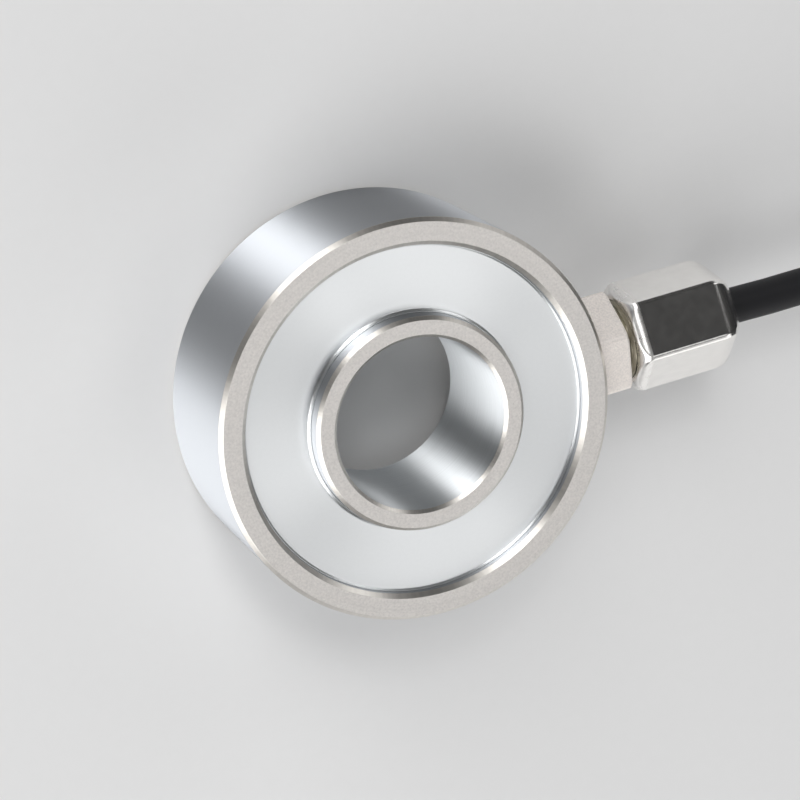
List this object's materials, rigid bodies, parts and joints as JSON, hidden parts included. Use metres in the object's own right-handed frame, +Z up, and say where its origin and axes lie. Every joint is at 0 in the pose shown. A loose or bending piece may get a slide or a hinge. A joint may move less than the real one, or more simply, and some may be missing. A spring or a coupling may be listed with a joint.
{
  "type": "ring load cell",
  "caption": "Through-hole ring load cell: a turned steel ring with a raised load collar, a covered gauge groove, a side cable gland and a coiled cable.",
  "frame": {"origin": "on the bore's axis, in the plane of the rim's foot that the ring stands on", "axes": "+Z up along the bore towards the raised load collar, +X along the cable gland"},
  "size_m": [0.1976, 0.0776, 0.0274],
  "materials": {
    "turned_stainless": "turned and ground stainless steel",
    "cover_stainless": "smooth rolled stainless sheet",
    "plated_gland": "nickel plated brass",
    "seal_rubber": "moulded rubber",
    "insert_nylon": "moulded nylon",
    "board_laminate": "glass laminate",
    "gauge_film": "amber film with foil grid",
    "lead_copper": "flat copper",
    "resistor_body": "chip resistor",
    "tinned_copper": "tinned copper strands",
    "cable_jacket": "satin extruded jacket",
    "shrink_sleeve": "shrunk tube",
    "tie_nylon": "moulded nylon",
    "core_red": "extruded insulation",
    "core_black": "extruded insulation",
    "core_green": "extruded insulation",
    "core_white": "extruded insulation"
  },
  "bodies": {
    "root": {"ring_body": "turned_stainless", "gauge_cover": "cover_stainless", "gland_body": "plated_gland", "gland_nut": "plated_gland", "gland_gasket": "seal_rubber", "gland_seal": "seal_rubber", "clamp_insert": "insert_nylon", "bridge_board": "board_laminate", "shield_drain": "tinned_copper", "cable_inner_end": "cable_jacket", "cable_run": "cable_jacket", "cable_coil": "cable_jacket", "cable_end": "cable_jacket", "cable_tie": "tie_nylon", "end_sleeve": "shrink_sleeve", "tinned_tips": "tinned_copper", "shield_tail": "tinned_copper", "strain_gauge_1": "gauge_film", "strain_gauge_2": "gauge_film", "strain_gauge_3": "gauge_film", "strain_gauge_4": "gauge_film", "strain_gauge_5": "gauge_film", "strain_gauge_6": "gauge_film", "strain_gauge_7": "gauge_film", "strain_gauge_8": "gauge_film", "gauge_lead_1": "lead_copper", "gauge_lead_2": "lead_copper", "gauge_lead_3": "lead_copper", "gauge_lead_4": "lead_copper", "gauge_lead_5": "lead_copper", "gauge_lead_6": "lead_copper", "gauge_lead_7": "lead_copper", "gauge_lead_8": "lead_copper", "trim_resistor_1": "resistor_body", "trim_resistor_2": "resistor_body", "trim_resistor_3": "resistor_body", "core_red": "core_red", "far_core_red": "core_red", "core_black": "core_black", "far_core_black": "core_black", "core_green": "core_green", "far_core_green": "core_green", "core_white": "core_white", "far_core_white": "core_white"}
  },
  "joints": []
}
